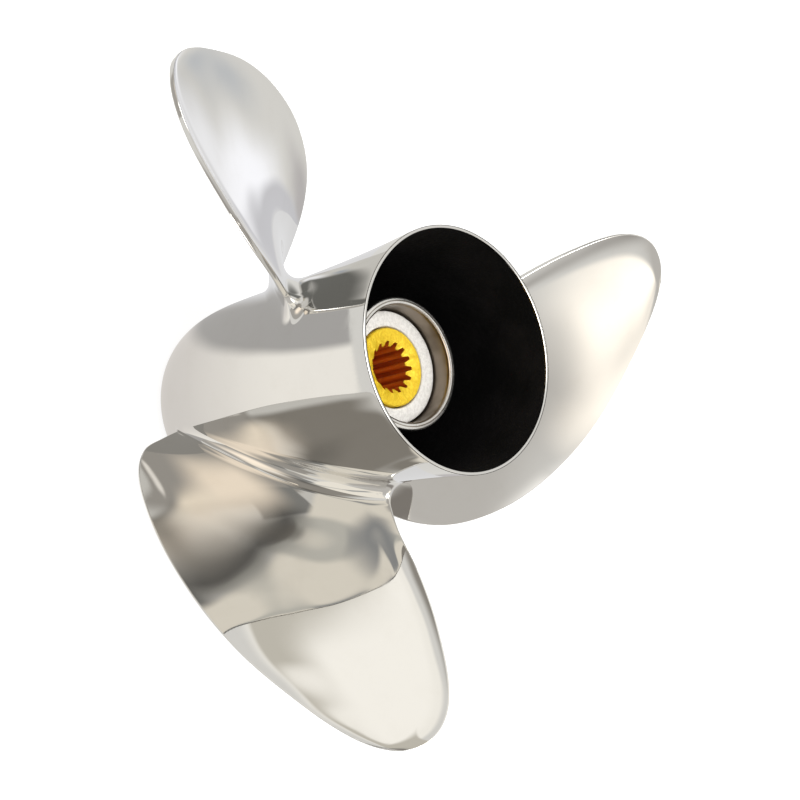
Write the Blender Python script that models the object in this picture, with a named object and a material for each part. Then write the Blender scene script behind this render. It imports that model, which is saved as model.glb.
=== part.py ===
"""Three-blade boat propeller with the engine's exhaust led out through its barrel.

The shaft runs along Z with the tail up. Sizes are in metres, and heights are measured
from the forward end of the barrel, on which the propeller stands.
"""
import math

import bmesh
import bpy
from mathutils import Vector

# Driving dimensions
DIAMETER = 0.37465
BLADE_COUNT = 3
BALANCE_HEIGHT = 0.0830
GAP = 0.0003

# The barrel: radius and height of its outside, from the nose up to the tail rim
BARREL_LENGTH = 0.178
BARREL_OUTSIDE = (
    (0.0430, 0.0000),
    (0.0446, 0.0012),
    (0.0462, 0.0034),
    (0.0480, 0.0068),
    (0.0497, 0.0115),
    (0.0511, 0.0175),
    (0.0522, 0.0250),
    (0.0530, 0.0350),
    (0.0536, 0.0480),
    (0.0541, 0.0750),
    (0.0550, 0.1050),
    (0.0561, 0.1280),
    (0.0573, 0.1480),
    (0.0587, 0.1650),
    (0.0598, 0.1762),
    (0.0598, BARREL_LENGTH),
)
# Its inside, from the tail rim down to the nose
BARREL_INSIDE = (
    (0.0582, BARREL_LENGTH),
    (0.0572, 0.1700),
    (0.0548, 0.1500),
    (0.0526, 0.1250),
    (0.0508, 0.0900),
    (0.0500, 0.0600),
    (0.0494, 0.0300),
    (0.0476, 0.0120),
    (0.0440, 0.0030),
    (0.0415, 0.0000),
)

# The inner hub, which holds the rubber bushing and the splined sleeve
HUB_RADIUS = 0.0328
HUB_BORE = 0.0288
HUB_BOTTOM = 0.0060
HUB_TOP = 0.1405
SHOULDER_BORE = 0.0255
SHOULDER_TOP = 0.0160
BUSHING_TOP = 0.1300
SLEEVE_RADIUS = 0.0195
SLEEVE_BOTTOM = 0.0080
SLEEVE_TOP = 0.1306

# Fifteen teeth point inwards on the sleeve's bore
SPLINE_TEETH = 15
SPLINE_ROOT_RADIUS = 0.0129
SPLINE_TIP_RADIUS = 0.0114
SPLINE_ROOT_HALF_WIDTH = 0.28
SPLINE_TIP_HALF_WIDTH = 0.12

# Three ribs carry the inner hub inside the barrel
RIB_COUNT = 3
RIB_THICKNESS = 0.0060
RIB_BOTTOM = 0.0180
RIB_TOP = 0.1000

# Blade outline: angles of the leading and trailing edge, in degrees about the shaft,
# at stations that crowd towards the tip
TIP_RADIUS = DIAMETER / 2
LEADING_EDGE = (-18.6, -18.4, -17.6, -13.0, -4.1, 6.7, 17.2, 26.7, 32.8, 37.1, 40.4)
TRAILING_EDGE = (53.2, 52.0, 53.1, 53.2, 52.6, 51.8, 50.6, 48.8, 46.5, 43.8, 41.2)

# Blade face: height of its reference line, pitch and camber at three radii
FACE_RADII = (0.0500, 0.1200, 0.1900)
FACE_HEIGHT = (0.0543, 0.0822, 0.0986)
FACE_PITCH = (0.5760, 0.4700, 0.4260)
FACE_CAMBER = (-0.0271, -0.0053, 0.0166)

# The face is hollowed, and ends in a cup that curls up to the trailing edge
HOLLOW_DEPTH = 0.0020
HOLLOW_CHORD = 0.80
HOLLOW_SPAN = 0.25
CUP_REACH = 0.0140

# Blade thickness, which is fullest just aft of the middle and ends bluntly at the tip
ROOT_THICKNESS = 0.0090
TIP_THICKNESS = 0.0032
LEADING_THICKNESS = 0.0014
TRAILING_THICKNESS = 0.0026
TIP_BLUNTNESS = 6
THICKEST_AFT = 1.30

# The fillet where a blade grows out of the barrel: its reach at the two edges, and its fullness
LEADING_FILLET = 0.0045
TRAILING_FILLET = 0.0115
FILLET_FULLNESS = 0.65
FILLET_EDGE_SHARE = 0.10
FILLET_EDGE_LEAN = math.radians(60)
FILLET_SPANS = (0.0, 0.008, 0.018, 0.034, 0.055)

# Fineness of the solids
TURN_STEPS = 72
CHORD_STEPS = 16
SPAN_STEPS = 18
ROOT_CUTS = 5
SEATING_ROUNDS = 6
SMOOTH_ANGLE = math.radians(35)

STEEL = ((0.78, 0.77, 0.75), 0.14, 1.0)
DARK_STEEL = ((0.10, 0.10, 0.10), 0.50, 0.6)
PALE_POLYMER = ((0.83, 0.81, 0.78), 0.60, 0.0)
BRASS = ((0.88, 0.62, 0.10), 0.30, 1.0)


def clear_scene():
    """Removes every object that the file opened with."""
    for existing in list(bpy.data.objects):
        bpy.data.objects.remove(existing, do_unlink=True)


def make_material(name, finish):
    """A plain Principled material from a colour, a roughness and a metallic value."""
    colour, roughness, metallic = finish
    material = bpy.data.materials.new(name)
    material.use_nodes = True
    shader = material.node_tree.nodes["Principled BSDF"]
    shader.inputs["Base Color"].default_value = (*colour, 1.0)
    shader.inputs["Roughness"].default_value = roughness
    shader.inputs["Metallic"].default_value = metallic
    return material


def make_mesh(name, shape):
    """Turns a bmesh into a smooth-shaded mesh."""
    mesh = bpy.data.meshes.new(name)
    shape.to_mesh(mesh)
    shape.free()
    mesh.shade_smooth()
    mesh.set_sharp_from_angle(angle=SMOOTH_ANGLE)
    mesh.materials.append(None)
    return mesh


def place(name, mesh, finish, shaft, turn=0.0):
    """Puts a mesh on the shaft as a named piece with its own material."""
    piece = bpy.data.objects.new(name, mesh)
    piece.material_slots[0].link = "OBJECT"
    piece.material_slots[0].material = make_material(name, finish)
    piece.parent = shaft
    piece.rotation_euler.z = turn
    bpy.context.collection.objects.link(piece)
    return piece


def make_shaft():
    """The empty that carries every piece, lowered so that Z = 0 is the balance point."""
    shaft = bpy.data.objects.new("shaft_axis", None)
    shaft.location.z = -BALANCE_HEIGHT
    bpy.context.collection.objects.link(shaft)
    return shaft


def through_points(points, where):
    """A value on the smooth curve through evenly spaced values, with where from 0 to 1."""
    last = len(points) - 1
    place = min(max(where, 0.0), 1.0) * last
    first = min(int(place), last - 1)
    step = place - first
    before = points[first - 1] if first > 0 else 2 * points[0] - points[1]
    after = points[first + 2] if first < last - 1 else 2 * points[last] - points[last - 1]
    start = points[first]
    end = points[first + 1]
    start_slope = (end - before) / 2
    end_slope = (after - start) / 2
    square = step * step
    cube = square * step
    return (
        (2 * cube - 3 * square + 1) * start
        + (cube - 2 * square + step) * start_slope
        + (3 * square - 2 * cube) * end
        + (cube - square) * end_slope
    )


def through_radii(values, radius):
    """The parabola through the values at the three face radii."""
    _, middle, far = FACE_RADII
    reach = (radius - middle) / (far - middle)
    slope = (values[2] - values[0]) / 2
    bend = (values[2] + values[0]) / 2 - values[1]
    return values[1] + slope * reach + bend * reach * reach


def radius_on(profile, height):
    """The radius of a turned profile at a height."""
    ordered = sorted(profile, key=lambda point: point[1])
    if height <= ordered[0][1]:
        return ordered[0][0]
    for (low_radius, low), (high_radius, high) in zip(ordered, ordered[1:]):
        if low <= height <= high and high > low:
            return low_radius + (high_radius - low_radius) * (height - low) / (high - low)
    return ordered[-1][0]


def turned(profile):
    """A bmesh ring turned about Z from a closed profile of radius and height."""
    shape = bmesh.new()
    corners = [shape.verts.new((radius, 0.0, height)) for radius, height in profile]
    edges = [shape.edges.new((a, b)) for a, b in zip(corners, corners[1:] + corners[:1])]
    bmesh.ops.spin(
        shape,
        geom=corners + edges,
        axis=(0, 0, 1),
        cent=(0, 0, 0),
        steps=TURN_STEPS,
        angle=2 * math.pi,
        use_merge=True,
    )
    bmesh.ops.recalc_face_normals(shape, faces=shape.faces[:])
    return shape


def barrel_mesh():
    """The outer tube that the blades stand on, flared towards its open tail."""
    return make_mesh("barrel", turned(BARREL_OUTSIDE + BARREL_INSIDE))


def inner_hub_mesh():
    """The tube inside the barrel, with a shoulder that stops the bushing."""
    profile = (
        (HUB_RADIUS, HUB_BOTTOM),
        (HUB_RADIUS, HUB_TOP),
        (HUB_BORE, HUB_TOP),
        (HUB_BORE, SHOULDER_TOP),
        (SHOULDER_BORE, SHOULDER_TOP),
        (SHOULDER_BORE, HUB_BOTTOM),
    )
    return make_mesh("inner_hub", turned(profile))


def bushing_mesh():
    """The cushioning ring that turns the inner hub and slips before the gears break."""
    outside = HUB_BORE - GAP
    inside = SLEEVE_RADIUS + GAP
    bottom = SHOULDER_TOP + GAP
    profile = ((outside, bottom), (outside, BUSHING_TOP), (inside, BUSHING_TOP), (inside, bottom))
    return make_mesh("hub_bushing", turned(profile))


def spline_bore():
    """Corners of the toothed bore, six to each tooth: a groove, then a tooth."""
    corners = []
    groove = SPLINE_ROOT_HALF_WIDTH
    tooth = SPLINE_TIP_HALF_WIDTH
    shares = (-groove, 0.0, groove, 0.5 - tooth, 0.5, 0.5 + tooth)
    for number in range(SPLINE_TEETH):
        for place, share in enumerate(shares):
            radius = SPLINE_ROOT_RADIUS if place < 3 else SPLINE_TIP_RADIUS
            angle = 2 * math.pi * (number + share) / SPLINE_TEETH
            corners.append((radius, angle))
    return corners


def sleeve_mesh():
    """The brass sleeve whose inner teeth fit the propeller shaft."""
    shape = bmesh.new()
    rings = []
    bore = spline_bore()
    for outer in (False, True):
        ring = []
        for radius, angle in bore:
            distance = SLEEVE_RADIUS if outer else radius
            corner = (distance * math.cos(angle), distance * math.sin(angle), SLEEVE_BOTTOM)
            ring.append(shape.verts.new(corner))
        rings += [shape.edges.new((a, b)) for a, b in zip(ring, ring[1:] + ring[:1])]
    bmesh.ops.bridge_loops(shape, edges=rings)
    raised = bmesh.ops.extrude_face_region(shape, geom=shape.faces[:])
    top = [item for item in raised["geom"] if isinstance(item, bmesh.types.BMVert)]
    bmesh.ops.translate(shape, verts=top, vec=(0, 0, SLEEVE_TOP - SLEEVE_BOTTOM))
    bmesh.ops.recalc_face_normals(shape, faces=shape.faces[:])
    return make_mesh("splined_sleeve", shape)


def cut_across(shape, point, normal):
    """Adds a loop of edges where a plane crosses the whole shape."""
    everything = shape.faces[:] + shape.edges[:] + shape.verts[:]
    bmesh.ops.bisect_plane(shape, geom=everything, plane_co=point, plane_no=normal)


def rib_mesh():
    """A rib from the inner hub out to the barrel, with its ends curved to fit both."""
    shape = bmesh.new()
    bmesh.ops.create_cube(shape, size=1.0)
    length = RIB_TOP - RIB_BOTTOM
    middle = RIB_BOTTOM + length / 2
    bmesh.ops.scale(shape, verts=shape.verts[:], vec=(1, RIB_THICKNESS, length))
    bmesh.ops.translate(shape, verts=shape.verts[:], vec=(0, 0, middle))
    cut_across(shape, (0, 0, middle), (0, 1, 0))
    for _, height in BARREL_INSIDE:
        if RIB_BOTTOM < height < RIB_TOP:
            cut_across(shape, (0, 0, height), (0, 0, 1))
    for corner in shape.verts:
        barrel = radius_on(BARREL_INSIDE, corner.co.z) - GAP
        radius = barrel if corner.co.x > 0 else HUB_RADIUS + GAP
        corner.co.x = math.sqrt(radius * radius - corner.co.y * corner.co.y)
    bmesh.ops.recalc_face_normals(shape, faces=shape.faces[:])
    return make_mesh("hub_rib", shape)


def face_height(radius, angle):
    """Height of the blade's pressure face: a helix with rake and camber."""
    rise = through_radii(FACE_PITCH, radius) / (2 * math.pi)
    return (
        through_radii(FACE_HEIGHT, radius)
        + rise * angle
        + through_radii(FACE_CAMBER, radius) * angle * angle
    )


def tip_closing(span):
    """Falls from 1 to 0 as the blade closes at its tip."""
    return math.sqrt(max(0.0, 1 - span ** TIP_BLUNTNESS))


def blade_thickness(span, chord):
    """Thickness square to the blade: thin edges and a full middle, less towards the tip."""
    aft = chord ** THICKEST_AFT
    middle = ROOT_THICKNESS + (TIP_THICKNESS - ROOT_THICKNESS) * math.sin(span * math.pi / 2)
    edge = LEADING_THICKNESS + (TRAILING_THICKNESS - LEADING_THICKNESS) * chord
    fullness = 4 * aft * (1 - aft)
    return edge + max(0.0, middle - edge) * fullness * tip_closing(span)


def hollow_and_cup(span, chord, from_trailing):
    """How far the face lies below the helix: deepest inside the cup, nothing at the edges."""
    curl = max(0.0, 1 - from_trailing / CUP_REACH)
    hollow = math.sin(math.pi / 2 * min(1.0, chord / HOLLOW_CHORD))
    start = min(1.0, span / HOLLOW_SPAN)
    fading = start * start * (3 - 2 * start) * tip_closing(span)
    return HOLLOW_DEPTH * (hollow - curl * curl) * fading


def fillet_push(off_barrel, chord, depth, along, square):
    """How far the fillet pushes a point out: square to the faces, and round the two edges."""
    reach = LEADING_FILLET + (TRAILING_FILLET - LEADING_FILLET) * chord
    nearness = max(0.0, 1 - off_barrel / reach)
    to_edge = max(0.0, 1 - min(chord, 1 - chord) / FILLET_EDGE_SHARE)
    lean = to_edge * FILLET_EDGE_LEAN * (1 if chord > 0.5 else -1)
    sideways = (1 - 2 * depth) * math.cos(lean) * square + math.sin(lean) * along
    return FILLET_FULLNESS * reach * nearness * nearness * sideways


def blade_point(span, chord, depth):
    """A point of the blade: span 0 to 1 from barrel to tip, chord 0 to 1 from leading
    to trailing edge, and depth 0 to 1 from the pressure face to the suction face.

    The section is drawn on the unrolled cylinder at its radius, as arc and height. The
    root's radius depends on its height on the barrel, so the two are found in turns."""
    leading = math.radians(through_points(LEADING_EDGE, span))
    trailing = math.radians(through_points(TRAILING_EDGE, span))
    angle = leading + (trailing - leading) * chord
    reach = math.sin(span * math.pi / 2)
    seat = radius_on(BARREL_OUTSIDE, BARREL_LENGTH / 2)
    for _ in range(SEATING_ROUNDS):
        radius = seat + (TIP_RADIUS - seat) * reach
        slope = through_radii(FACE_PITCH, radius) / (2 * math.pi * radius)
        stretch = math.hypot(1, slope)
        along = Vector((1, slope)) / stretch
        square = Vector((-slope, 1)) / stretch
        from_trailing = (1 - chord) * (trailing - leading) * radius * stretch
        fall = hollow_and_cup(span, chord, from_trailing) + depth * blade_thickness(span, chord)
        point = Vector((radius * angle, face_height(radius, angle))) - square * fall
        point += fillet_push(radius - seat, chord, depth, along, square)
        seat = radius_on(BARREL_OUTSIDE, point.y) + GAP
    radius = seat + (TIP_RADIUS - seat) * reach
    turn = point.x / radius
    return Vector((radius * math.cos(turn), radius * math.sin(turn), point.y))


def span_stations():
    """Span values: close rows at the root for its fillet, then even steps to the tip."""
    step = (1 - FILLET_SPANS[-1]) / SPAN_STEPS
    return list(FILLET_SPANS) + [FILLET_SPANS[-1] + step * n for n in range(1, SPAN_STEPS + 1)]


def stands_on_root(edge):
    """True for an edge that joins the two faces of the flat blade at its root."""
    first, second = edge.verts
    return max(first.co.y, second.co.y) == 0 and first.co.z != second.co.z


def blade_mesh():
    """One blade: a flat slab of chord by span, cut fine and then bent into shape."""
    spans = span_stations()
    rows = len(spans) - 1
    shape = bmesh.new()
    bmesh.ops.create_grid(shape, x_segments=CHORD_STEPS, y_segments=rows, size=0.5)
    bmesh.ops.translate(shape, verts=shape.verts[:], vec=(0.5, 0.5, 0))
    for corner in shape.verts:
        corner.co.y = spans[round(corner.co.y * rows)]
    lowered = bmesh.ops.extrude_face_region(shape, geom=shape.faces[:])
    suction = [item for item in lowered["geom"] if isinstance(item, bmesh.types.BMVert)]
    bmesh.ops.translate(shape, verts=suction, vec=(0, 0, -1))
    root = [edge for edge in shape.edges if stands_on_root(edge)]
    bmesh.ops.subdivide_edges(shape, edges=root, cuts=ROOT_CUTS)
    many_sided = [face for face in shape.faces if len(face.verts) > 4]
    bmesh.ops.triangulate(shape, faces=many_sided)
    bmesh.ops.recalc_face_normals(shape, faces=shape.faces[:])
    for corner in shape.verts:
        corner.co = blade_point(corner.co.y, corner.co.x, -corner.co.z)
    # The bend turns the slab inside out, because chord, span and depth are left-handed there
    bmesh.ops.reverse_faces(shape, faces=shape.faces[:])
    return make_mesh("blade", shape)


def main():
    clear_scene()
    shaft = make_shaft()
    place("barrel", barrel_mesh(), STEEL, shaft)
    place("inner_hub", inner_hub_mesh(), STEEL, shaft)
    place("hub_bushing", bushing_mesh(), PALE_POLYMER, shaft)
    place("splined_sleeve", sleeve_mesh(), BRASS, shaft)
    rib = rib_mesh()
    for number in range(RIB_COUNT):
        turn = 2 * math.pi * number / RIB_COUNT
        place(f"hub_rib_{number + 1}", rib, DARK_STEEL, shaft, turn)
    blade = blade_mesh()
    for number in range(BLADE_COUNT):
        turn = -2 * math.pi * number / BLADE_COUNT
        place(f"blade_{number + 1}", blade, STEEL, shaft, turn)


main()
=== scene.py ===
# %% [markdown]
# # A stainless boat propeller
#
# The propeller stands on the forward end of its barrel, with its tail up. Three blades grow
# out of the barrel. Inside it sits a hub, held by three ribs, with a cushioning ring and a
# splined brass sleeve that slides onto the propeller shaft. The engine's exhaust leaves
# through the space between hub and barrel, which it has blackened.
#
# The solids of the part are loaded first, as a fixed frame. Each piece below is then
# modelled more finely than its solid, in the same place, and stands for it.

# %% Load the solids
import math

import bmesh
import bpy
from mathutils import Matrix, Vector


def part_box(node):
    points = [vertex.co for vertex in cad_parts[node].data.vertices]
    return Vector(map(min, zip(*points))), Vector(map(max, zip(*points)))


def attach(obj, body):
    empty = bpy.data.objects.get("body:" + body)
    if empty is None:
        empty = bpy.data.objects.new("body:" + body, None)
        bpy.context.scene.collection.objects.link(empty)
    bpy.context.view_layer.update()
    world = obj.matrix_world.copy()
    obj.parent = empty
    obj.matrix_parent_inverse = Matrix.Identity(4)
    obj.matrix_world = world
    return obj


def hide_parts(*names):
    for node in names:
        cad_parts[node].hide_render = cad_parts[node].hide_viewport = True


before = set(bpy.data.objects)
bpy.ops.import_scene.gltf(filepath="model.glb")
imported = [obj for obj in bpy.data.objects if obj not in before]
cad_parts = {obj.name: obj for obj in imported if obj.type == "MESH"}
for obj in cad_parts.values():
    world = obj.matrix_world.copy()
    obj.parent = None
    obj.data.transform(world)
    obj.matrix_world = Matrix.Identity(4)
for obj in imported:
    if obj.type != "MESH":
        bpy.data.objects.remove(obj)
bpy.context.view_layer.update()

FORWARD_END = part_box("barrel")[0].z
print("solids:", ", ".join(sorted(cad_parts)))
print(f"the barrel's forward end is at {FORWARD_END * 1000:.1f} mm")

# %% [markdown]
# ## The camera
# A product this size is often photographed with a long lens from about a metre away, which
# keeps the near blade from looking too large. The camera could be aimed by hand. Here a
# program fitted its lens, place and angles to points read off the part's outlines in the
# photograph, where circles seen at a slant tell both the tilt and the distance.

# %% Camera
camera_data = bpy.data.cameras.new("product camera")
camera_data.sensor_width = 36.0
camera_data.lens = 97.256
camera = bpy.data.objects.new("product camera", camera_data)
camera.location = (-0.0975, 0.7168, 0.8076)
camera.rotation_euler = [math.radians(angle) for angle in (12.834, -42.005, -102.359)]
bpy.context.collection.objects.link(camera)
bpy.context.scene.camera = camera
bpy.context.scene.view_settings.view_transform = "Standard"
print(f"the camera is {camera.location.length:.2f} m from the middle of the propeller")

# %% [markdown]
# ## Small tools for node trees
# Every finish below is a tree of shader nodes. Each tree could be wired in the editor, but
# in a script one helper that adds a node, sets it and links its inputs keeps a recipe
# readable: an input is given either a value or the output of an earlier node.

# %% Node helpers
def add_node(tree, kind, inputs=None, **settings):
    """Adds a node, changes its settings, and gives its inputs values or links."""
    node = tree.nodes.new("ShaderNode" + kind)
    for name, value in settings.items():
        setattr(node, name, value)
    for socket, value in (inputs or {}).items():
        if isinstance(value, bpy.types.NodeSocket):
            tree.links.new(value, node.inputs[socket])
        else:
            node.inputs[socket].default_value = value
    return node


def math_node(tree, operation, first, second=0.0):
    """One step of arithmetic, as the output of a math node."""
    return add_node(tree, "Math", {0: first, 1: second}, operation=operation).outputs[0]


def smooth_step(tree, value, low, high, out_low=0.0, out_high=1.0):
    """Rises smoothly from one value to another while the input goes from low to high."""
    inputs = {"Value": value, "From Min": low, "From Max": high}
    inputs.update({"To Min": out_low, "To Max": out_high})
    node = add_node(tree, "MapRange", inputs, interpolation_type="SMOOTHSTEP")
    return node.outputs["Result"]


def blend_colours(tree, factor, first, second):
    """Mixes two colours."""
    node = add_node(tree, "Mix", {0: factor, 6: first, 7: second}, data_type="RGBA")
    return node.outputs[2]


def new_group(name, inputs, outputs):
    """A shader node group with float inputs, and outputs that are floats or colours."""
    tree = bpy.data.node_groups.new(name, "ShaderNodeTree")
    for label, value in inputs.items():
        socket = tree.interface.new_socket(label, in_out="INPUT", socket_type="NodeSocketFloat")
        socket.default_value = value
    for label, kind in outputs.items():
        tree.interface.new_socket(label, in_out="OUTPUT", socket_type="NodeSocket" + kind)
    return tree, tree.nodes.new("NodeGroupInput"), tree.nodes.new("NodeGroupOutput")


def use_group(tree, group, **inputs):
    """Places a node group in a material, with its own values."""
    node = tree.nodes.new("ShaderNodeGroup")
    node.node_tree = group
    for label, value in inputs.items():
        socket = node.inputs[label.replace("_", " ")]
        if isinstance(value, bpy.types.NodeSocket):
            tree.links.new(value, socket)
        else:
            socket.default_value = value
    return node


print("node helpers are ready")

# %% [markdown]
# ## The studio
# Polished steel has hardly any colour of its own. What the eye reads as steel is the room in
# it: white card, grey card and the dark behind the camera. A set of area lights could stand
# round the part, but a sky painted with soft boxes is smoother and less noisy, so each
# card here is a patch of the world, given by its direction, its size and its softness. The
# directions are an azimuth about the propeller's shaft and a height above the horizon.

# %% Soft box group
def make_soft_box():
    """A group that masks a patch of the sky, with soft edges."""
    ray = ("Azimuth", "Height")
    card = ("Middle", "Half width", "Level", "Half height", "Softness", "Tilt")
    group, start, end = new_group("soft box", dict.fromkeys(ray + card, 0.0), {"Mask": "Float"})
    ports = start.outputs
    around = math_node(group, "SUBTRACT", ports["Azimuth"], ports["Middle"])
    around = math_node(group, "FLOORED_MODULO", math_node(group, "ADD", around, 180.0), 360.0)
    around = math_node(group, "SUBTRACT", around, 180.0)
    above = math_node(group, "SUBTRACT", ports["Height"], ports["Level"])
    rise = math_node(group, "MULTIPLY", around, ports["Tilt"])
    above = math_node(group, "ABSOLUTE", math_node(group, "SUBTRACT", above, rise))
    around = math_node(group, "ABSOLUTE", around)
    masks = []
    for distance, size in ((around, "Half width"), (above, "Half height")):
        outside = math_node(group, "SUBTRACT", distance, ports[size])
        soft = ports["Softness"]
        hard = math_node(group, "MULTIPLY", soft, -1.0)
        masks.append(smooth_step(group, outside, hard, soft, 1.0, 0.0))
    mask = math_node(group, "MULTIPLY", masks[0], masks[1])
    group.links.new(mask, end.inputs["Mask"])
    return group


soft_box = make_soft_box()
print("the soft box group has", len(soft_box.nodes), "nodes")

# %% [markdown]
# Each row is one card: the middle and half width of its azimuth, the middle and half height
# of its height, its softness, all in degrees, its tilt, in degrees of height for each degree
# of azimuth, and its colour, which may be brighter than white. Later rows lie over earlier
# ones. Cards are better set by eye, as in a real studio, in a few plain numbers. These rows
# and the sky's colour were fitted by a program instead, by least squares against the colours
# in the photograph. They suit that one view best, and they are hard to read.

# %% Studio light
SKY = (0.78, 0.77, 0.74)
CARDS = (
    (0.0, 180.0, 90.0, 22.0, 6.0, 0.00, (2.70, 2.65, 2.55)),
    (0.0, 180.0, 90.0, 16.0, 5.0, 0.00, (10.00, 9.80, 9.50)),
    (277.1, 32.5, 59.2, 1.1, 0.6, 0.05, (1.47, 1.46, 1.48)),
    (208.2, 17.5, 51.7, 8.9, 7.3, -0.59, (1.70, 1.59, 1.42)),
    (160.2, 49.1, 35.7, 29.0, 10.0, -0.21, (0.58, 0.56, 0.53)),
    (-4.9, 27.0, 43.3, 14.2, 2.5, 0.31, (1.06, 1.03, 0.96)),
    (344.1, 15.0, 25.9, 22.3, 0.9, 0.60, (0.62, 0.59, 0.52)),
    (257.2, 11.7, -31.1, 19.9, 4.4, 0.41, (0.55, 0.53, 0.53)),
    (314.4, 26.6, -4.9, 14.7, 6.0, 0.25, (0.19, 0.19, 0.18)),
    (187.6, 34.7, -11.2, 18.3, 10.0, 0.52, (0.30, 0.28, 0.26)),
    (59.1, 46.6, -12.8, 23.2, 1.7, 0.07, (0.44, 0.42, 0.39)),
    (72.8, 13.7, 13.2, 7.6, 0.9, 0.24, (0.30, 0.30, 0.29)),
    (53.5, 29.4, 30.0, 13.7, 3.7, 0.34, (0.31, 0.29, 0.26)),
    (56.7, 16.7, -0.0, 12.7, 10.0, 0.03, (1.24, 1.09, 0.91)),
    (17.9, 2.0, -2.4, 5.2, 1.6, 0.59, (1.08, 1.04, 0.98)),
    (38.8, 7.8, 5.5, 3.7, 6.4, -0.06, (1.21, 1.08, 0.90)),
    (102.9, 28.9, 31.8, 18.0, 2.0, -0.39, (1.00, 0.95, 0.85)),
    (93.9, 22.7, 31.5, 2.2, 1.4, 0.35, (0.68, 0.67, 0.62)),
    (281.9, 5.8, -20.3, 8.5, 5.0, 0.01, (1.12, 1.13, 1.18)),
    (283.5, 3.8, -2.4, 3.2, 4.0, 0.15, (0.46, 0.50, 0.56)),
    (271.0, 15.5, -25.5, 4.9, 2.4, -0.09, (0.64, 0.64, 0.67)),
    (356.2, 17.9, 48.2, 6.9, 5.0, 0.01, (1.12, 1.09, 1.02)),
    (67.7, 7.7, 20.9, 4.1, 9.6, 0.07, (0.02, 0.02, 0.02)),
    (109.9, 13.1, 35.4, 2.1, 2.7, 0.01, (0.33, 0.34, 0.35)),
)


def make_studio():
    """The world: pale sky, soft cards, and plain white wherever the camera looks at it."""
    world = bpy.data.worlds.new("studio")
    world.use_nodes = True
    tree = world.node_tree
    tree.nodes.clear()
    direction = add_node(tree, "TexCoord").outputs["Generated"]
    axis = add_node(tree, "SeparateXYZ", {0: direction}).outputs
    azimuth = math_node(tree, "ARCTAN2", axis["Y"], axis["X"])
    azimuth = math_node(tree, "DEGREES", azimuth)
    height = math_node(tree, "DEGREES", math_node(tree, "ARCSINE", axis["Z"]))
    colour = (*SKY, 1.0)
    for middle, half_width, level, half_height, softness, tilt, tint in CARDS:
        card = use_group(
            tree,
            soft_box,
            Azimuth=azimuth,
            Height=height,
            Middle=middle,
            Half_width=half_width,
            Level=level,
            Half_height=half_height,
            Softness=softness,
            Tilt=tilt,
        )
        colour = blend_colours(tree, card.outputs["Mask"], colour, (*tint, 1.0))
    lit = add_node(tree, "Background", {"Color": colour}).outputs[0]
    seen = add_node(tree, "Background", {"Color": (1.0, 1.0, 1.0, 1.0)}).outputs[0]
    camera_ray = add_node(tree, "LightPath").outputs["Is Camera Ray"]
    mixed = add_node(tree, "MixShader", {0: camera_ray, 1: lit, 2: seen}).outputs[0]
    add_node(tree, "OutputWorld", {"Surface": mixed})
    return world


bpy.context.scene.world = make_studio()
print("cards in the sky:", len(CARDS))

# %% [markdown]
# ## The floor
# The part stands on a plain pale floor. A large disc is enough. Much of its light is its own
# glow, as with white acrylic over a light table, which thins the shadow under the part. It
# is hidden from glossy rays, so that the metal mirrors the soft cards below the horizon.

# %% Floor
FLOOR_RADIUS = 6.0
FLOOR_COLOUR = (0.35, 0.35, 0.35, 1.0)
FLOOR_ROUGHNESS = 0.9
FLOOR_GLOW = 0.85
WHITE = (1.0, 1.0, 1.0, 1.0)
DISC_CORNERS = 96


def make_floor():
    """A large pale disc at the height of the barrel's forward end."""
    shape = bmesh.new()
    bmesh.ops.create_circle(shape, cap_ends=True, segments=DISC_CORNERS, radius=FLOOR_RADIUS)
    bmesh.ops.translate(shape, verts=shape.verts[:], vec=(0, 0, FORWARD_END))
    mesh = bpy.data.meshes.new("floor")
    shape.to_mesh(mesh)
    shape.free()
    floor = bpy.data.objects.new("floor", mesh)
    bpy.context.collection.objects.link(floor)
    material = bpy.data.materials.new("white floor")
    material.use_nodes = True
    shader = material.node_tree.nodes["Principled BSDF"]
    shader.inputs["Base Color"].default_value = FLOOR_COLOUR
    shader.inputs["Roughness"].default_value = FLOOR_ROUGHNESS
    shader.inputs["Specular IOR Level"].default_value = 0.0
    shader.inputs["Emission Color"].default_value = WHITE
    shader.inputs["Emission Strength"].default_value = FLOOR_GLOW
    mesh.materials.append(material)
    floor.visible_glossy = False


make_floor()
print("the floor is", 2 * FLOOR_RADIUS, "m across")

# %% [markdown]
# The barrel mirrors the table close to it, so the table gets a card of its own that only the
# mirror sees. It is darker near the barrel, where the part shades it, and a grey band lies
# on one side of it, with a slightly bent edge that draws the long line on the barrel. Rays
# that have met two mirrors see the table in the shade: dark under the barrel and grey in
# front of it. That is a liberty, since real light doesn't count mirrors, and it darkens the
# upper corner of the near blade. All lengths are in metres, and each pair of them is where
# a change starts and where it ends. Those from the middle are slanting distances, from the
# middle of the propeller down to the table. The grey band's numbers were fitted too.

# %% Table card
TABLE_RADIUS = 0.165
TABLE_LIFT = 0.0005
NEAR_TABLE = (0.76, 0.73, 0.70, 1.0)
OPEN_TABLE = (1.00, 0.97, 0.91, 1.0)
OPEN_FROM_MIDDLE = (0.097, 0.162)
REAR_TABLE = (0.78, 0.78, 0.79, 1.0)
REAR_EDGE = (-0.012, 0.008)
# A grey band on one side of the table card, which draws the long line on the barrel.
GREY_BAND = (0.45, 0.44, 0.43, 1.0)
GREY_FROM = 0.041
GREY_SOFT = 0.010
GREY_SLANT = 0.56
GREY_BEND = 3.0
GREY_REAR_EDGE = (-0.034, 0.008)
FRONT_SHADE = (0.36, 0.35, 0.33, 1.0)
FRONT_EDGE = (0.045, 0.060)
UNDER_SHADE = (0.04, 0.04, 0.04, 1.0)
UNDER_FROM_MIDDLE = (0.092, 0.097)


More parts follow.
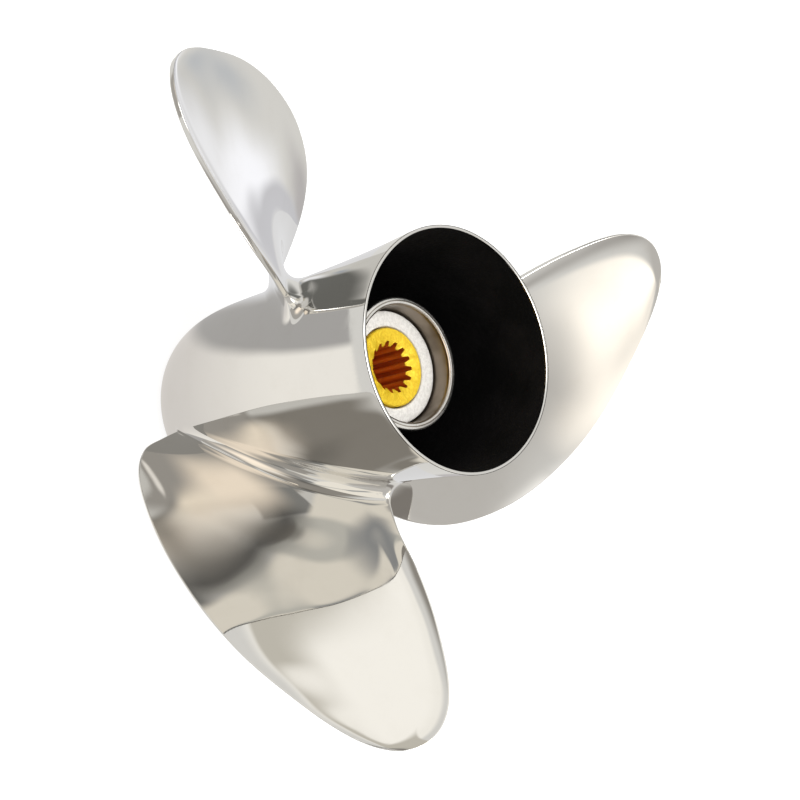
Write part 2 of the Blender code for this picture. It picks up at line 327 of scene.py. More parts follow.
def met_two_mirrors(tree):
    """1 for rays that have met two mirrors or more, and 0 for the rest."""
    mirrors = add_node(tree, "LightPath").outputs["Ray Depth"]
    return math_node(tree, "GREATER_THAN", mirrors, 1.5)


def colour_the_table(tree):
    """The table's colour, by place on the table."""
    place = add_node(tree, "TexCoord").outputs["Object"]
    axis = add_node(tree, "SeparateXYZ", {0: place}).outputs
    far = add_node(tree, "VectorMath", {0: place}, operation="LENGTH").outputs["Value"]
    open_light = smooth_step(tree, far, *OPEN_FROM_MIDDLE)
    colour = blend_colours(tree, open_light, NEAR_TABLE, OPEN_TABLE)
    rear = smooth_step(tree, axis["Y"], *REAR_EDGE, 1.0, 0.0)
    colour = blend_colours(tree, rear, colour, REAR_TABLE)
    bend = math_node(tree, "MULTIPLY", axis["Y"], GREY_BEND)
    edge = math_node(tree, "SUBTRACT", GREY_SLANT, bend)
    edge = math_node(tree, "MULTIPLY", edge, axis["Y"])
    aside = math_node(tree, "SUBTRACT", axis["X"], edge)
    grey = smooth_step(tree, aside, GREY_FROM - GREY_SOFT, GREY_FROM + GREY_SOFT)
    grey = math_node(tree, "MULTIPLY", grey, smooth_step(tree, axis["Y"], *GREY_REAR_EDGE))
    colour = blend_colours(tree, grey, colour, GREY_BAND)
    twice = met_two_mirrors(tree)
    front = math_node(tree, "MULTIPLY", twice, smooth_step(tree, axis["Y"], *FRONT_EDGE))
    colour = blend_colours(tree, front, colour, FRONT_SHADE)
    under = smooth_step(tree, far, *UNDER_FROM_MIDDLE, 1.0, 0.0)
    under = math_node(tree, "MULTIPLY", twice, under)
    return blend_colours(tree, under, colour, UNDER_SHADE)


def make_table_card():
    """A disc of light round the barrel's foot, seen by glossy rays alone."""
    shape = bmesh.new()
    bmesh.ops.create_circle(shape, cap_ends=True, segments=DISC_CORNERS, radius=TABLE_RADIUS)
    bmesh.ops.translate(shape, verts=shape.verts[:], vec=(0, 0, FORWARD_END + TABLE_LIFT))
    mesh = bpy.data.meshes.new("table card")
    shape.to_mesh(mesh)
    shape.free()
    card = bpy.data.objects.new("table card", mesh)
    bpy.context.collection.objects.link(card)
    material = bpy.data.materials.new("table card")
    material.use_nodes = True
    tree = material.node_tree
    tree.nodes.clear()
    light = add_node(tree, "Emission", {"Color": colour_the_table(tree)}).outputs[0]
    add_node(tree, "OutputMaterial", {"Surface": light})
    mesh.materials.append(material)
    for ray in ("camera", "diffuse", "transmission", "volume_scatter", "shadow"):
        setattr(card, "visible_" + ray, False)


make_table_card()
print("the table card is", 2 * TABLE_RADIUS, "m across")

# %% [markdown]
# ## Finishes: noise that stays on the part
# All patterns read the Object coordinates of the piece, so they keep their size in metres
# and stay in place. The first group is the mark of the polishing wheel: a slow waviness
# that a cast surface keeps, very fine lines round the shaft, and patches of haze. A picture
# of scratches could be laid on instead, but noise never repeats and needs no unwrapping.

# %% Polishing marks group
def make_polish():
    """Waviness and fine lines, as a height, and a mask of duller places."""
    inputs = {"Waviness": 1.0, "Lines": 1.0}
    outputs = {"Height": "Float", "Dullness": "Float"}
    group, start, end = new_group("polishing marks", inputs, outputs)
    place = add_node(group, "TexCoord").outputs["Object"]
    slow_inputs = {"Vector": place, "Scale": 26.0, "Detail": 0.0, "Roughness": 0.4}
    slow = add_node(group, "TexNoise", slow_inputs).outputs["Fac"]
    turned = add_node(group, "Mapping", {"Vector": place, "Scale": (1.0, 1.0, 14.0)})
    fine_inputs = {"Vector": turned.outputs[0], "Scale": 420.0, "Detail": 2.0}
    fine = add_node(group, "TexNoise", fine_inputs).outputs["Fac"]
    waves = math_node(group, "MULTIPLY", slow, start.outputs["Waviness"])
    lines = math_node(group, "MULTIPLY", fine, start.outputs["Lines"])
    height = math_node(group, "ADD", waves, math_node(group, "MULTIPLY", lines, 0.0006))
    haze_inputs = {"Vector": place, "Scale": 60.0, "Detail": 4.0, "Roughness": 0.6}
    haze = add_node(group, "TexNoise", haze_inputs).outputs["Fac"]
    dullness = smooth_step(group, haze, 0.45, 0.75)
    group.links.new(height, end.inputs["Height"])
    group.links.new(dullness, end.inputs["Dullness"])
    return group


polish = make_polish()
print("the polish group has", len(polish.nodes), "nodes")

# %% [markdown]
# Soot, rubber, brass and stained steel all have small grains and larger clouds of them, each
# at its own size. So one group makes both from noise, and each material gives it the size.

# %% Speckle group
def make_speckle():
    """Fine grains and larger clouds of them, each as a mask."""
    outputs = {"Grain": "Float", "Cloud": "Float"}
    group, start, end = new_group("speckle", {"Size": 0.001}, outputs)
    place = add_node(group, "TexCoord").outputs["Object"]
    scale = math_node(group, "DIVIDE", 1.0, start.outputs["Size"])
    grain_inputs = {"Vector": place, "Scale": scale, "Detail": 3.0, "Roughness": 0.7}
    grain = add_node(group, "TexNoise", grain_inputs).outputs["Fac"]
    coarse = math_node(group, "MULTIPLY", scale, 0.12)
    cloud_inputs = {"Vector": place, "Scale": coarse, "Detail": 2.0}
    cloud = add_node(group, "TexNoise", cloud_inputs).outputs["Fac"]
    group.links.new(smooth_step(group, grain, 0.35, 0.65), end.inputs["Grain"])
    group.links.new(smooth_step(group, cloud, 0.35, 0.65), end.inputs["Cloud"])
    return group


speckle = make_speckle()
print("the speckle group has", len(speckle.nodes), "nodes")

# %% [markdown]
# ## Polished stainless steel
# The blades and the outside of the barrel are buffed to a mirror, and buffing never gets
# quite flat: the mirror is slightly wavy, and faintly hazy in places. A chrome preset would
# look like glass, so the steel gets a warm grey tint, a little roughness that changes over
# the surface, and a bump: waves of up to a few tenths of a millimetre, and far finer lines.

# %% Polished steel
def start_material(name):
    """A material with its shader, and the shader's tree."""
    material = bpy.data.materials.new(name)
    material.use_nodes = True
    tree = material.node_tree
    return material, tree, tree.nodes["Principled BSDF"]


def add_bump(tree, shader, height, distance):
    """Feeds a height into the shader's normal."""
    inputs = {"Height": height, "Distance": distance}
    bump = add_node(tree, "Bump", inputs)
    tree.links.new(bump.outputs["Normal"], shader.inputs["Normal"])


def make_polished_steel():
    """Buffed stainless steel, slightly wavy and slightly hazy."""
    material, tree, shader = start_material("polished steel")
    marks = use_group(tree, polish, Waviness=1.0, Lines=1.0)
    clear = (0.800, 0.790, 0.770, 1.0)
    hazy = (0.785, 0.773, 0.750, 1.0)
    colour = blend_colours(tree, marks.outputs["Dullness"], clear, hazy)
    tree.links.new(colour, shader.inputs["Base Color"])
    roughness = smooth_step(tree, marks.outputs["Dullness"], 0.0, 1.0, 0.02, 0.055)
    tree.links.new(roughness, shader.inputs["Roughness"])
    shader.inputs["Metallic"].default_value = 1.0
    add_bump(tree, shader, marks.outputs["Height"], 0.0006)
    return material


polished_steel = make_polished_steel()
print("made", polished_steel.name)

# %% [markdown]
# ## Exhaust soot and painted shade
# Soot is a dry black layer over the cast wall, with a slight sheen where it is thin. Its tone
# is darker than soot itself, so that it also paints the shade deep inside the barrel. A flat
# black would look like a hole, so its tone and its roughness both follow the grain's clouds.

# %% Soot
def make_soot_and_shade():
    """Dry black soot over steel, darkened further as painted shade."""
    material, tree, shader = start_material("exhaust soot")
    grains = use_group(tree, speckle, Size=0.0030)
    # Near black: soot, made darker still as painted shade deep inside the barrel and hub.
    colour = blend_colours(
        tree, grains.outputs["Cloud"], (0.0035, 0.0035, 0.0035, 1.0), (0.009, 0.0085, 0.009, 1.0)
    )
    tree.links.new(colour, shader.inputs["Base Color"])
    roughness = smooth_step(tree, grains.outputs["Cloud"], 0.0, 1.0, 0.75, 0.50)
    tree.links.new(roughness, shader.inputs["Roughness"])
    shader.inputs["Specular IOR Level"].default_value = 0.12
    add_bump(tree, shader, grains.outputs["Grain"], 0.00015)
    return material


soot_and_shade = make_soot_and_shade()
print("made", soot_and_shade.name)

# %% [markdown]
# ## Turned steel
# The end of the inner hub is faced on a lathe, which leaves fine rings, and its bore is a
# darker brown-grey. One function makes both, because only tone and roughness differ.

# %% Machined steel and the darker brown bore
def make_machined(name, bright, dull, roughness):
    """Turned steel: fine rings about the shaft, clouded with stain."""
    material, tree, shader = start_material(name)
    place = add_node(tree, "TexCoord").outputs["Object"]
    wave_inputs = {"Vector": place, "Scale": 260.0, "Distortion": 0.6, "Detail": 1.0}
    rings = add_node(
        tree, "TexWave", wave_inputs, wave_type="RINGS", rings_direction="Z"
    ).outputs["Fac"]
    grains = use_group(tree, speckle, Size=0.0022)
    colour = blend_colours(tree, grains.outputs["Cloud"], bright, dull)
    tree.links.new(colour, shader.inputs["Base Color"])
    rough = smooth_step(tree, grains.outputs["Cloud"], 0.0, 1.0, roughness, roughness + 0.1)
    tree.links.new(rough, shader.inputs["Roughness"])
    shader.inputs["Metallic"].default_value = 1.0
    add_bump(tree, shader, rings, 0.00004)
    return material


machined_steel = make_machined(
    "machined steel", (0.86, 0.85, 0.82, 1.0), (0.66, 0.64, 0.61, 1.0), 0.22
)
# The bore is darker and browner than the turned end.
darker_brown_steel = make_machined(
    "darker brown steel", (0.26, 0.22, 0.18, 1.0), (0.12, 0.095, 0.07, 1.0), 0.30
)
print("made", machined_steel.name, "and", darker_brown_steel.name)

# %% [markdown]
# ## Pale bushing and bright brass
# The cushioning ring is pale and grained, and the end of the sleeve is bright brass with a
# fine grain. Both are the same recipe: a grain that moves the colour, the roughness and the
# height together, so that it doesn't look painted on.

# %% Pale rubber and brass
def make_grained(name, light, dark, metallic, roughness, size, depth):
    """A grained surface whose colour and roughness vary with the grain."""
    material, tree, shader = start_material(name)
    grains = use_group(tree, speckle, Size=size)
    colour = blend_colours(tree, grains.outputs["Grain"], dark, light)
    tree.links.new(colour, shader.inputs["Base Color"])
    rough = smooth_step(tree, grains.outputs["Grain"], 0.0, 1.0, roughness + 0.1, roughness)
    tree.links.new(rough, shader.inputs["Roughness"])
    shader.inputs["Metallic"].default_value = metallic
    add_bump(tree, shader, grains.outputs["Grain"], depth)
    return material


pale_rubber = make_grained(
    "pale bushing", (0.76, 0.75, 0.73, 1.0), (0.62, 0.61, 0.59, 1.0), 0.0, 0.60, 0.0014, 0.0001
)
brass = make_grained(
    "bright brass", (0.82, 0.60, 0.03, 1.0), (0.72, 0.47, 0.01, 1.0), 0.4, 0.42, 0.0012, 0.0001
)
print("made", pale_rubber.name, "and", brass.name)

# %% [markdown]
# Old grease has browned the toothed bore. It is thin and orange on the crests of the teeth,
# where the shaft rubs, and darker and redder in the grooves. The finish could be painted on
# each tooth, but the distance from the shaft tells crest and groove apart.

# %% Greased brass
CREST_RADIUS = 0.0108
GROOVE_RADIUS = 0.0127


def make_greased_brass():
    """Brass under old grease, darker where it is farther from the shaft."""
    material, tree, shader = start_material("greased brass")
    grains = use_group(tree, speckle, Size=0.0030)
    crest = blend_colours(
        tree, grains.outputs["Cloud"], (1.00, 0.30, 0.03, 1.0), (0.75, 0.16, 0.02, 1.0)
    )
    place = add_node(tree, "TexCoord").outputs["Object"]
    flat = add_node(tree, "VectorMath", {0: place, 1: (1.0, 1.0, 0.0)}, operation="MULTIPLY")
    inputs = {0: flat.outputs["Vector"]}
    radius = add_node(tree, "VectorMath", inputs, operation="LENGTH").outputs["Value"]
    groove = smooth_step(tree, radius, CREST_RADIUS, GROOVE_RADIUS)
    # Darker and redder towards the grooves, farther from the shaft.
    colour = blend_colours(tree, groove, crest, (0.60, 0.13, 0.015, 1.0))
    tree.links.new(colour, shader.inputs["Base Color"])
    shader.inputs["Metallic"].default_value = 0.2
    shader.inputs["Roughness"].default_value = 0.4
    add_bump(tree, shader, grains.outputs["Grain"], 0.0002)
    return material


greased_brass = make_greased_brass()
print("made", greased_brass.name)

# %% [markdown]
# ## Turned pieces
# The barrel, the hub and the bushing are all rings about the shaft. A ring could be cut from
# cylinders with Booleans, but a lathe is closer to how they are made: half a section is
# drawn as a closed line, and the spin operator turns it round. Heights are measured from
# the barrel's forward end, and the finished mesh is lowered to the frame's zero.

# %% Lathe helpers
TURN_STEPS = 256


def turn_profile(profile, steps=TURN_STEPS):
    """Spins a closed line of radius and height once round the shaft."""
    shape = bmesh.new()
    corners = [shape.verts.new((radius, 0.0, height)) for radius, height in profile]
    edges = [shape.edges.new((a, b)) for a, b in zip(corners, corners[1:] + corners[:1])]
    bmesh.ops.spin(
        shape,
        geom=corners + edges,
        axis=(0, 0, 1),
        cent=(0, 0, 0),
        steps=steps,
        angle=2 * math.pi,
        use_merge=True,
    )
    bmesh.ops.recalc_face_normals(shape, faces=shape.faces[:])
    return shape


def round_edges(shape, width, from_angle=50.0, segments=3):
    """Rounds every edge that turns more sharply than an angle."""
    limit = math.radians(from_angle)
    sharp = [edge for edge in shape.edges if edge.calc_face_angle(0.0) > limit]
    bmesh.ops.bevel(
        shape,
        geom=sharp,
        offset=width,
        offset_type="OFFSET",
        segments=segments,
        profile=0.5,
        affect="EDGES",
        material=-1,
    )
    return shape


def fair_line(points, steps=8):
    """A B-spline along a row of points, which starts and ends exactly on the first and last."""
    row = [points[0]] * 2 + list(points) + [points[-1]] * 2
    line = []
    for a, b, c, d in zip(row, row[1:], row[2:], row[3:]):
        for step in range(steps):
            t = step / steps
            weights = (
                (1 - t) ** 3 / 6,
                (3 * t**3 - 6 * t * t + 4) / 6,
                (-3 * t**3 + 3 * t * t + 3 * t + 1) / 6,
                t**3 / 6,
            )
            corners = (a, b, c, d)
            line.append(tuple(sum(w * p[i] for w, p in zip(weights, corners)) for i in (0, 1)))
    line.append(tuple(points[-1]))
    return [point for place, point in enumerate(line) if place == 0 or point != line[place - 1]]


print("a lathe with", TURN_STEPS, "steps is ready")

# %% [markdown]
# Every piece ends in the same way: it is lowered to the frame's zero, shaded smooth except
# at sharp edges, given its materials, and set to stand for its solid. One function does
# it, so that no piece is forgotten. It also counts the triangles.

# %% Finish a piece
SMOOTH_ANGLE = math.radians(40)


def finish_piece(name, shape, materials, node, pick=None):
    """Lowers a shape to the frame, gives it its materials, and lets it stand for a solid."""
    if pick:
        for face in shape.faces:
            face.material_index = pick(face)
    bmesh.ops.translate(shape, verts=shape.verts[:], vec=(0, 0, FORWARD_END))
    mesh = bpy.data.meshes.new(name)
    shape.to_mesh(mesh)
    shape.free()
    mesh.shade_smooth()
    mesh.set_sharp_from_angle(angle=SMOOTH_ANGLE)
    for material in materials:
        mesh.materials.append(material)
    piece = bpy.data.objects.new(name, mesh)
    bpy.context.collection.objects.link(piece)
    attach(piece, "root")
    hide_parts(node)
    triangles = sum(len(polygon.vertices) - 2 for polygon in mesh.polygons)
    print(f"{name}: {triangles} triangles")


# %% [markdown]
# ## The barrel
# The barrel is the outer tube of the casting. Its nose is rounded, its sides widen slowly,
# and its tail flares to a thin rim, which keeps exhaust gas from curling back onto the
# blades. The section is a row of points. A program fitted those of the outside to the
# photograph, and the end of the nose and most of the inside are guessed. Straight lines
# between them would show as bands in the mirror, so a B-spline runs along them, as a
# boatbuilder bends a batten. The outside is polished and the inside is sooted and darkened
# further as painted shade, which one test on each face decides.

# %% Barrel
BARREL_LENGTH = 0.178
BARREL_OUTSIDE = (
    (0.0415, 0.0000),
    (0.0438, 0.0010),
    (0.0460, 0.0032),
    (0.0480, 0.0068),
    (0.0497, 0.0115),
    (0.0511, 0.0175),
    (0.0522, 0.0250),
    (0.0530, 0.0350),
    (0.0536, 0.0480),
    (0.0541, 0.0750),
    (0.0550, 0.1050),
    (0.0561, 0.1280),
    (0.0573, 0.1480),
    (0.0587, 0.1650),
    (0.0598, 0.1762),
    (0.0598, BARREL_LENGTH),
)
BARREL_INSIDE = (
    (0.0582, BARREL_LENGTH),
    (0.0572, 0.1700),
    (0.0548, 0.1500),
    (0.0526, 0.1250),
    (0.0508, 0.0900),
    (0.0500, 0.0600),
    (0.0494, 0.0300),
    (0.0472, 0.0120),
    (0.0425, 0.0030),
    (0.0395, 0.0000),
)
RIM_ROUNDING = 0.0005
outside_line = fair_line(BARREL_OUTSIDE)


def faces_the_shaft(face):
    """1 for a face that looks at the shaft, 0 for the rest."""
    middle = face.calc_center_median()
    sideways = Vector((middle.x, middle.y, 0.0)).normalized()
    return 1 if face.normal.dot(sideways) < -0.3 else 0


barrel_shape = round_edges(turn_profile(outside_line + fair_line(BARREL_INSIDE)), RIM_ROUNDING)
finish_piece(
    "barrel_skin",
    barrel_shape,
    (polished_steel, soot_and_shade),
    "barrel",
    pick=faces_the_shaft,
)

# %% [markdown]
# ## The blades
# A propeller blade is drawn section by section. Each section lies on a cylinder about the
# shaft, unrolled flat: along it runs the angle, and up it the height of a helix, whose pitch
# is the way forward in one turn. Thickness is laid off square to the section. The same
# numbers as in the part's solids give the outline, the pitch and the camber. They are the
# rounded results of a program that fitted the blade to points read off the photograph.
#
# The blade could be sculpted by hand, but it would hardly keep to a helix. So a flat slab
# is cut into a fine grid, and each of its corners is carried to its place by
# three numbers: span, from barrel to tip, chord, from leading to trailing edge, and depth,
# from the pressure face to the suction face.

# %% Blade numbers
TIP_RADIUS = 0.37465 / 2
LEADING_EDGE = (-18.6, -18.4, -17.6, -13.0, -4.1, 6.7, 17.2, 26.7, 32.8, 37.1, 40.4)
TRAILING_EDGE = (53.2, 52.0, 53.1, 53.2, 52.6, 51.8, 50.6, 48.8, 46.5, 43.8, 41.2)
FACE_RADII = (0.0500, 0.1200, 0.1900)
FACE_HEIGHT = (0.0543, 0.0822, 0.0986)
FACE_PITCH = (0.5760, 0.4700, 0.4260)
FACE_CAMBER = (-0.0271, -0.0053, 0.0166)
HOLLOW_DEPTH = 0.0020
HOLLOW_CHORD = 0.80
HOLLOW_SPAN = 0.25
CUP_REACH = 0.0140
ROOT_THICKNESS = 0.0090
TIP_THICKNESS = 0.0032
LEADING_THICKNESS = 0.0014
TRAILING_THICKNESS = 0.0026
TIP_BLUNTNESS = 6
THICKEST_AFT = 1.30
CORNER_ROUNDING = 0.0005
LEADING_FILLET = 0.0045
TRAILING_FILLET = 0.0115
FACE_FILLET_SWELL = 0.0010
BACK_FILLET_SWELL = -0.0045
FILLET_FAN = 0.0050
ROOT_SINK = 0.0010


def through_points(points, where):
    """A value on the smooth curve through evenly spaced values, with where from 0 to 1."""
    last = len(points) - 1
    place = min(max(where, 0.0), 1.0) * last
    first = min(int(place), last - 1)
    step = place - first
    before = points[first - 1] if first > 0 else 2 * points[0] - points[1]
    after = points[first + 2] if first < last - 1 else 2 * points[last] - points[last - 1]
    start = points[first]
    end = points[first + 1]
    square = step * step
    cube = square * step
    return (
        (2 * cube - 3 * square + 1) * start
        + (cube - 2 * square + step) * (end - before) / 2
        + (3 * square - 2 * cube) * end
        + (cube - square) * (after - start) / 2
    )


def through_radii(values, radius):
    """The parabola through the values at the three face radii."""
    reach = (radius - FACE_RADII[1]) / (FACE_RADII[2] - FACE_RADII[1])
    slope = (values[2] - values[0]) / 2
    bend = (values[2] + values[0]) / 2 - values[1]
    return values[1] + slope * reach + bend * reach * reach


def barrel_radius(height):
    """The radius of the barrel's outside at a height."""
    for (low_radius, low), (high_radius, high) in zip(outside_line, outside_line[1:]):
        if low <= height < high:
            return low_radius + (high_radius - low_radius) * (height - low) / (high - low)
    return outside_line[-1][0] if height > 0 else outside_line[0][0]


print(f"the blades reach {2 * TIP_RADIUS / 0.0254:.2f} inches across")

# %% [markdown]
# ### The section
# The pressure face is a helix with a little rake and camber. Thickness lies behind it: thin
# at both edges and fullest aft of the middle. The trailing edge curls into a cup, which
# helps the blade to hold the water. These could be drawn by hand for each radius, but a
# few formulas give a fair surface.

# %% Section of a blade
def face_height(radius, angle):
    """Height of the pressure face: a helix with rake and camber."""
    rise = through_radii(FACE_PITCH, radius) / (2 * math.pi)
    camber = through_radii(FACE_CAMBER, radius)
    return through_radii(FACE_HEIGHT, radius) + rise * angle + camber * angle * angle


def tip_closing(span):
    """Falls from 1 to 0 as the blade closes at its tip."""
    return math.sqrt(max(0.0, 1 - span**TIP_BLUNTNESS))


def blade_thickness(span, chord):
    """Thickness square to the blade: thin edges, a full middle, less towards the tip."""
    middle = ROOT_THICKNESS + (TIP_THICKNESS - ROOT_THICKNESS) * math.sin(span * math.pi / 2)
    edge = LEADING_THICKNESS + (TRAILING_THICKNESS - LEADING_THICKNESS) * chord
    aft = chord**THICKEST_AFT
    return edge + max(0.0, middle - edge) * 4 * aft * (1 - aft) * tip_closing(span)


def hollow_and_cup(span, chord, from_trailing):
    """How far the face lies below the helix: deepest inside the cup, nothing at the edges."""
    curl = max(0.0, 1 - from_trailing / CUP_REACH)
    hollow = math.sin(math.pi / 2 * min(1.0, chord / HOLLOW_CHORD))
    start = min(1.0, span / HOLLOW_SPAN)
    fading = start * start * (3 - 2 * start) * tip_closing(span)
    return HOLLOW_DEPTH * (hollow - curl * curl) * fading


def round_corner(from_edge, radius):
    """How far a rounded corner falls below the face, at a distance from the edge."""
    inward = max(0.0, radius - from_edge)
    return radius - math.sqrt(max(0.0, radius * radius - inward * inward))


print("thickness at mid blade: %.1f mm" % (blade_thickness(0.4, 0.5) * 1000))

# %% [markdown]
# ### The fillet
# Metal that was poured doesn't meet in a sharp corner: the blade swings out into the barrel
# in a fillet. A bevel between two separate meshes isn't possible, and a Boolean union would
# tear the fine grid. So the rows of corners nearest the barrel step round a quarter circle,
# which starts along the blade and ends along the barrel. At the two edges of the blade the
# fillet fans round from one face to the other.

# %% Place a point of the blade
def fillet_radius(chord, depth):
    """Radius of the fillet: it grows to the trailing edge, and is larger on the face."""
    swell = FACE_FILLET_SWELL if depth < 0.5 else BACK_FILLET_SWELL
    edge = LEADING_FILLET + (TRAILING_FILLET - LEADING_FILLET) * chord
    return edge + swell * 4 * chord * (1 - chord)


def fillet_push(off_barrel, from_edges, chord, depth, along, square):
    """How far the fillet pushes a point out: square to the faces, and round the two edges."""
    flare = round_corner(max(0.0, off_barrel), fillet_radius(chord, depth))
    nearest = min(from_edges)
    fan = max(0.0, 1 - nearest / FILLET_FAN)
    lean = fan * fan * math.pi / 2
    outward = 1 if from_edges[1] < from_edges[0] else -1
    side = 1 if depth < 0.5 else -1
    return flare * (side * math.cos(lean) * square + outward * math.sin(lean) * along)


def blade_point(off_root, span, chord, depth):
    """A point of the blade. The root's radius depends on its height on the barrel, so the
    two are found in turns."""
    leading = math.radians(through_points(LEADING_EDGE, span))
    trailing = math.radians(through_points(TRAILING_EDGE, span))
    angle = leading + (trailing - leading) * chord
    reach = math.sin(span * math.pi / 2)
    seat = barrel_radius(BARREL_LENGTH / 2)
    for _ in range(6):
        radius = seat + (TIP_RADIUS - seat) * reach + off_root
        slope = through_radii(FACE_PITCH, radius) / (2 * math.pi * radius)
        stretch = math.hypot(1, slope)
        along = Vector((1, slope)) / stretch
        square = Vector((-slope, 1)) / stretch
        length = (trailing - leading) * radius * stretch
        from_edges = (chord * length, (1 - chord) * length)
        thickness = blade_thickness(span, chord)
        corner = round_corner(min(from_edges), min(CORNER_ROUNDING, 0.45 * thickness))
        fall = hollow_and_cup(span, chord, from_edges[1])
        fall += thickness - corner if depth > 0.5 else corner
        point = Vector((radius * angle, face_height(radius, angle))) - square * fall
        point += fillet_push(radius - seat, from_edges, chord, depth, along, square)
        seat = barrel_radius(point.y)
    radius = seat + (TIP_RADIUS - seat) * reach + off_root
    turn = point.x / radius
    return Vector((radius * math.cos(turn), radius * math.sin(turn), point.y))


print("root of the leading edge:", [round(v * 1000, 1) for v in blade_point(0, 0, 0, 0)])

# %% [markdown]
# ### Rows and columns
# Rows crowd in the fillet, where the surface turns a quarter circle, and at the tip, where
# it closes. Columns crowd at both edges, because a cosine spaces them, so that the rounded
# corners get enough of them. One more row sinks into the barrel's wall and closes the mesh.

# %% Blade mesh
CHORD_STEPS = 96
SPAN_STEPS = 84
FILLET_STEPS = 26


def blade_rows():
    """Each row's height off the root, inside the fillet or below it, and its span."""
    rows = [(-ROOT_SINK, 0.0)]
    clear = TIP_RADIUS - barrel_radius(BARREL_LENGTH / 2)
    for step in range(FILLET_STEPS + 1):
        off_barrel = TRAILING_FILLET * (1 - math.cos(math.pi / 2 * step / FILLET_STEPS))
        rows.append((0.0, math.asin(off_barrel / clear) * 2 / math.pi))
    start = rows[-1][1]
    rows += [(0.0, start + (1 - start) * n / SPAN_STEPS) for n in range(1, SPAN_STEPS + 1)]
    return rows


def blade_mesh_shape(number):
    """One blade: a flat slab, cut fine, whose corners are carried to their places."""
    rows = blade_rows()
    last = len(rows) - 1
    shape = bmesh.new()
    bmesh.ops.create_grid(shape, x_segments=CHORD_STEPS, y_segments=last, size=0.5)
    bmesh.ops.translate(shape, verts=shape.verts[:], vec=(0.5, 0.5, 0.0))
    lowered = bmesh.ops.extrude_face_region(shape, geom=shape.faces[:])
    suction = [item for item in lowered["geom"] if isinstance(item, bmesh.types.BMVert)]
    bmesh.ops.translate(shape, verts=suction, vec=(0, 0, -1))
    bmesh.ops.recalc_face_normals(shape, faces=shape.faces[:])
    for corner in shape.verts:
        off_root, span = rows[round(corner.co.y * last)]
        chord = (1 - math.cos(math.pi * corner.co.x)) / 2
        corner.co = blade_point(off_root, span, chord, -corner.co.z)
    bmesh.ops.reverse_faces(shape, faces=shape.faces[:])
    turn = Matrix.Rotation(-2 * math.pi * number / 3, 3, "Z")
    bmesh.ops.rotate(shape, verts=shape.verts[:], cent=(0, 0, 0), matrix=turn)
    return shape


for number in range(3):
    finish_piece(
        f"blade_skin_{number + 1}",
        blade_mesh_shape(number),
        (polished_steel,),
        f"blade_{number + 1}",
    )

# %% [markdown]
# ## The inner hub and its ribs
# The hub is a thick tube inside the barrel. Its end is faced and chamfered on a lathe, its
# bore steps in near the bottom to stop the bushing, and the gas blackens its outside, a black
# that also paints its shade. Like the barrel, it is turned from a profile, and a scribed line
# on its end is a flat ring of its own, painted dark as the shade of a groove.

# %% Inner hub
HUB_RADIUS = 0.0328
HUB_BORE = 0.0288
HUB_BOTTOM = 0.0060
HUB_TOP = 0.1405
SHOULDER_BORE = 0.0255
SHOULDER_TOP = 0.0160
HUB_CHAMFER = 0.0009
# The scribed line is a flat ring on the end, painted dark as the shade of a groove.
SCRIBED_LINE_SHADE = (0.03065, 0.03110)

hub_profile = (
    (HUB_RADIUS, HUB_BOTTOM),
    (HUB_RADIUS, HUB_TOP),
    (SCRIBED_LINE_SHADE[1], HUB_TOP),
    (SCRIBED_LINE_SHADE[0], HUB_TOP),
    (HUB_BORE, HUB_TOP),
    (HUB_BORE, SHOULDER_TOP),
    (SHOULDER_BORE, SHOULDER_TOP),
    (SHOULDER_BORE, HUB_BOTTOM),
)


def hub_finish(face):
    """0 for the turned end, 1 for the sooted outside, 2 for the bore and the scribed line's
    painted shade.
    """
    middle = face.calc_center_median()
    radius = math.hypot(middle.x, middle.y)
    if radius > HUB_RADIUS - 0.0001 and middle.z < HUB_TOP - 0.0015:
        return 1
    if radius < HUB_BORE + HUB_CHAMFER or SCRIBED_LINE_SHADE[0] < radius < SCRIBED_LINE_SHADE[1]:
        return 2
    return 0


hub_shape = round_edges(turn_profile(hub_profile, 192), HUB_CHAMFER, segments=2)
bmesh.ops.bisect_plane(
    hub_shape,
    geom=hub_shape.faces[:] + hub_shape.edges[:] + hub_shape.verts[:],
    plane_co=(0, 0, HUB_TOP - 0.002),
    plane_no=(0, 0, 1),
)
finish_piece(
    "inner_hub_skin",
    hub_shape,
    (machined_steel, soot_and_shade, darker_brown_steel),
    "inner_hub",
    pick=hub_finish,
)

# %% [markdown]
# Three ribs join the hub to the barrel. A Boolean could trim flat plates to the two round
# walls, but it leaves ragged triangles. So each rib starts as a cube, is cut into slices,
# and its ends are pushed onto the walls.

# %% Ribs
RIB_THICKNESS = 0.0060
RIB_BOTTOM = 0.0180
RIB_TOP = 0.1000
RIB_SLICES = 24
RIB_ROUNDING = 0.0012


def inside_radius(height):
    """The radius of the barrel's inside at a height."""
    row = sorted(BARREL_INSIDE, key=lambda point: point[1])
    for (low_radius, low), (high_radius, high) in zip(row, row[1:]):
        if low <= height <= high and high > low:
            return low_radius + (high_radius - low_radius) * (height - low) / (high - low)
    return row[-1][0]


